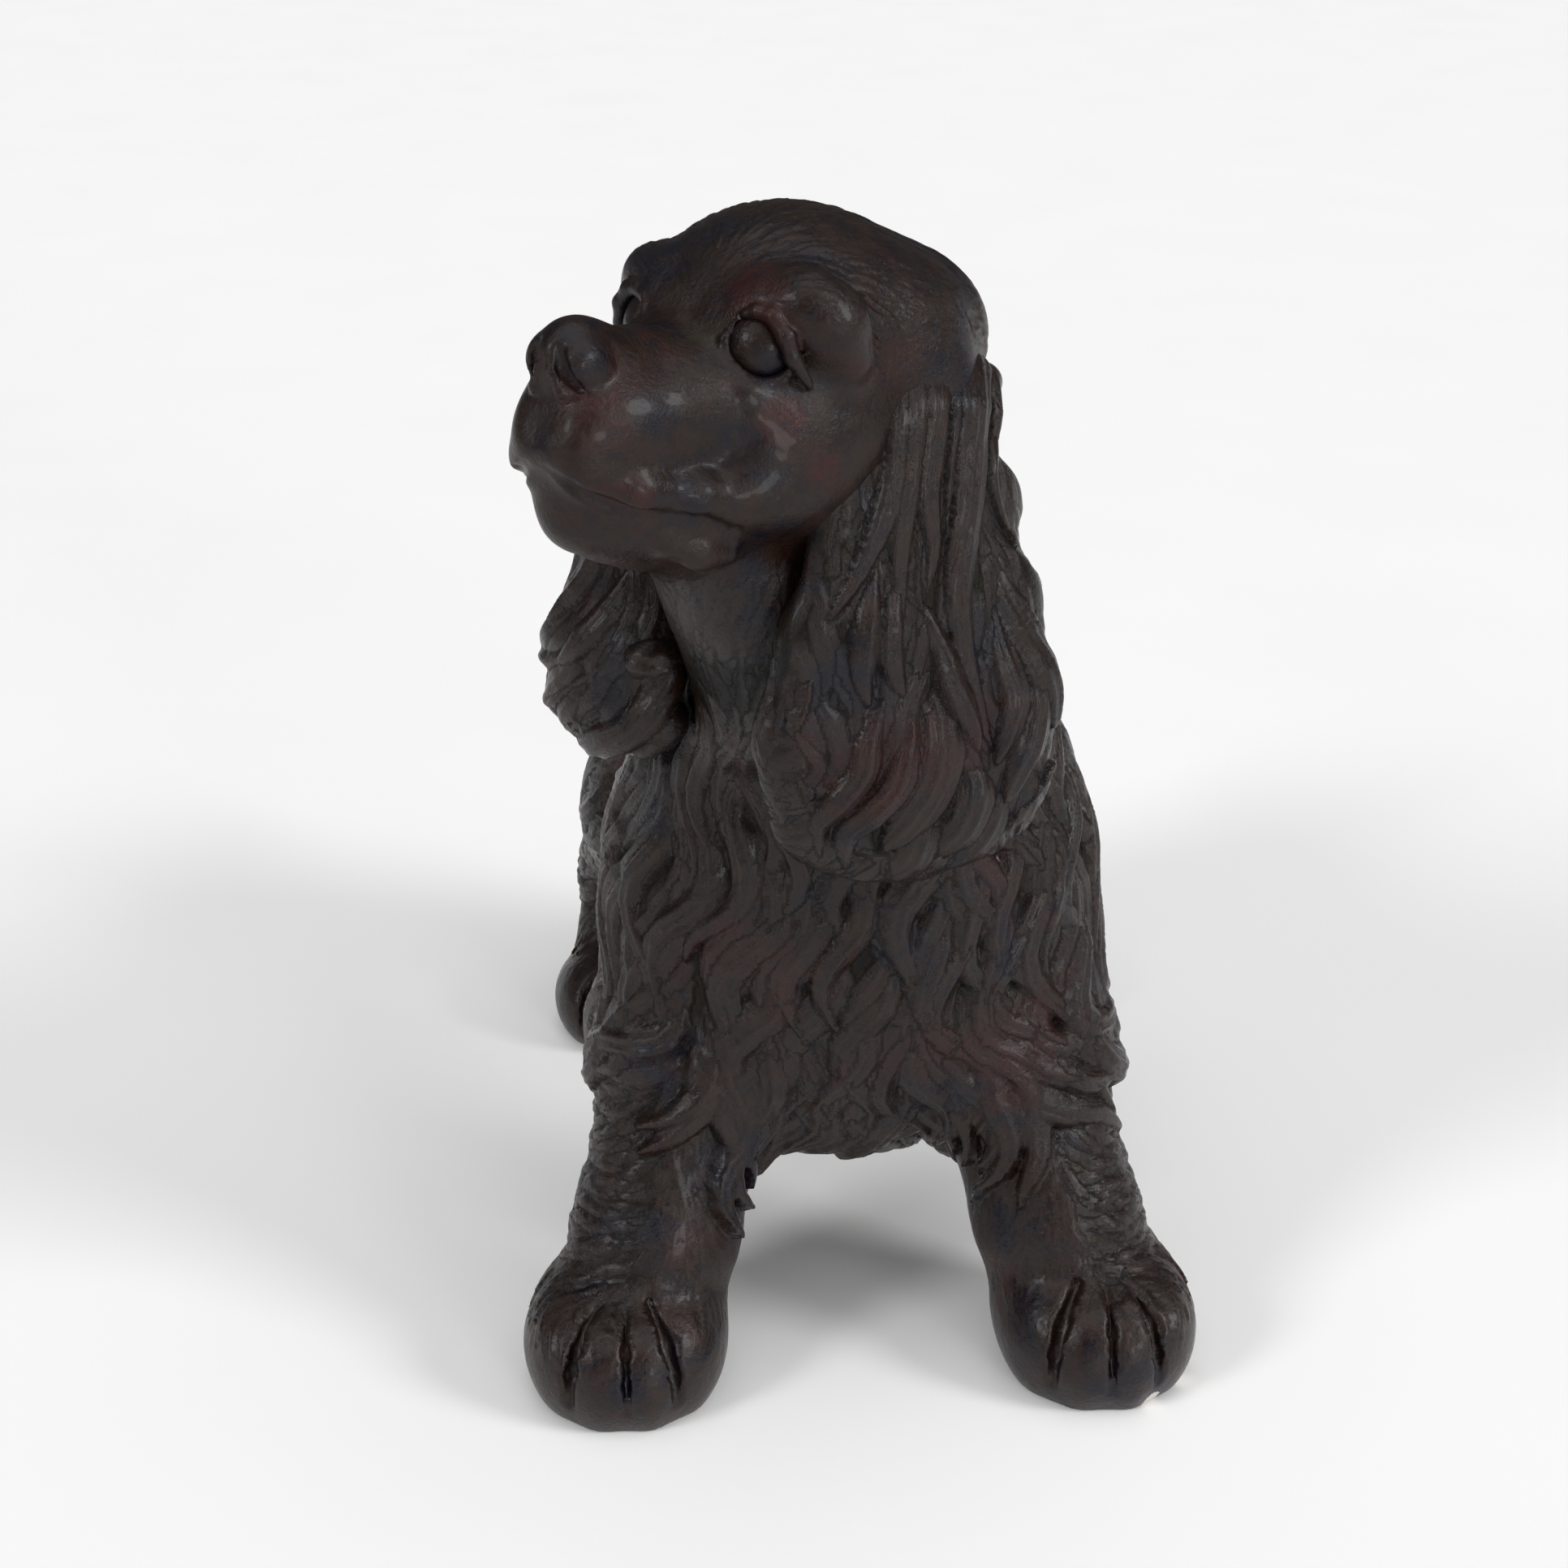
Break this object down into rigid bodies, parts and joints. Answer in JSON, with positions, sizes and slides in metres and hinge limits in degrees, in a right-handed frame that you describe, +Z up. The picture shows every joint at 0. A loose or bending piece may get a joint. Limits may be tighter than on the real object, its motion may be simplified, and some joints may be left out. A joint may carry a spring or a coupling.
{
  "type": "ceramic dog figurine",
  "caption": "Standing long-eared spaniel figurine: hollow slip-cast shells luted together, head raised and turned to its right, felt pads under the paws.",
  "frame": {"origin": "on the ground, under the middle of the whole figure's bounding box", "axes": "+Z up; the dog faces -Y; its own left is +X; +Y runs to the tail"},
  "size_m": [0.244, 0.4135, 0.4129],
  "materials": {
    "glazed_body": "dark brown mottled glaze, satin to glossy",
    "glazed_eye": "dark brown smooth glaze",
    "fired_slip": "unglazed fired slip",
    "felt": "pressed black felt"
  },
  "bodies": {
    "root": {"chest_shell": "glazed_body", "rump_shell": "glazed_body", "head_shell": "glazed_body", "ear_left": "glazed_body", "ear_right": "glazed_body", "foreleg_left": "glazed_body", "foreleg_right": "glazed_body", "hindleg_left": "glazed_body", "hindleg_right": "glazed_body", "tail": "glazed_body", "eyeball_left": "glazed_eye", "eyeball_right": "glazed_eye", "trunk_slip": "fired_slip", "neck_slip": "fired_slip", "ear_left_slip": "fired_slip", "ear_right_slip": "fired_slip", "tail_slip": "fired_slip", "foreleg_left_slip": "fired_slip", "foreleg_right_slip": "fired_slip", "hindleg_left_slip": "fired_slip", "hindleg_right_slip": "fired_slip", "pad_fore_left": "felt", "pad_fore_right": "felt", "pad_hind_left": "felt", "pad_hind_right": "felt"}
  },
  "joints": []
}
